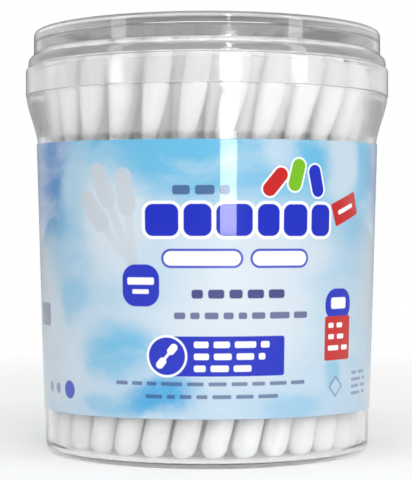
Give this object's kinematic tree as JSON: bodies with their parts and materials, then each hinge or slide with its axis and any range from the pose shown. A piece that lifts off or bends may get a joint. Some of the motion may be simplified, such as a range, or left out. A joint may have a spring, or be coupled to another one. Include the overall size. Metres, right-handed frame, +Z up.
{
  "type": "cotton swab tub",
  "caption": "Round clear plastic tub packed with double-ended cotton swabs standing on end, with a wrap-round printed label and a stepped clear lid that lifts off.",
  "frame": {"origin": "centre of the foot's standing plane, on the tub's axis", "axes": "+Z up along the tub's axis; -Y is the front of the label, with +X to the viewer's right; +Y is the back, where the film overlaps itself"},
  "size_m": [0.072, 0.072, 0.0824],
  "materials": {
    "clear_tub": "clear glossy polystyrene",
    "clear_lid": "clear glossy polystyrene",
    "printed_film": "glossy printed film, sky blue and white",
    "paper_stick": "smooth white rolled paper",
    "cotton": "soft white wound cotton"
  },
  "bodies": {
    "tub": {"tub": "clear_tub", "label": "printed_film", "swab_sticks_ring_1": "paper_stick", "swab_sticks_ring_2": "paper_stick", "swab_sticks_ring_3": "paper_stick", "swab_sticks_ring_4": "paper_stick", "swab_sticks_ring_5": "paper_stick", "swab_top_heads_ring_1": "cotton", "swab_top_heads_ring_2": "cotton", "swab_top_heads_ring_3": "cotton", "swab_top_heads_ring_4": "cotton", "swab_top_heads_ring_5": "cotton", "swab_bottom_heads_ring_1": "cotton", "swab_bottom_heads_ring_2": "cotton", "swab_bottom_heads_ring_3": "cotton", "swab_bottom_heads_ring_4": "cotton", "swab_bottom_heads_ring_5": "cotton"},
    "lid": {"lid": "clear_lid"}
  },
  "joints": [
    {"name": "lid_lift", "type": "slide", "parent": "tub", "child": "lid", "axis": [0, 0, 1], "range_m": [0, 0.04]}
  ]
}
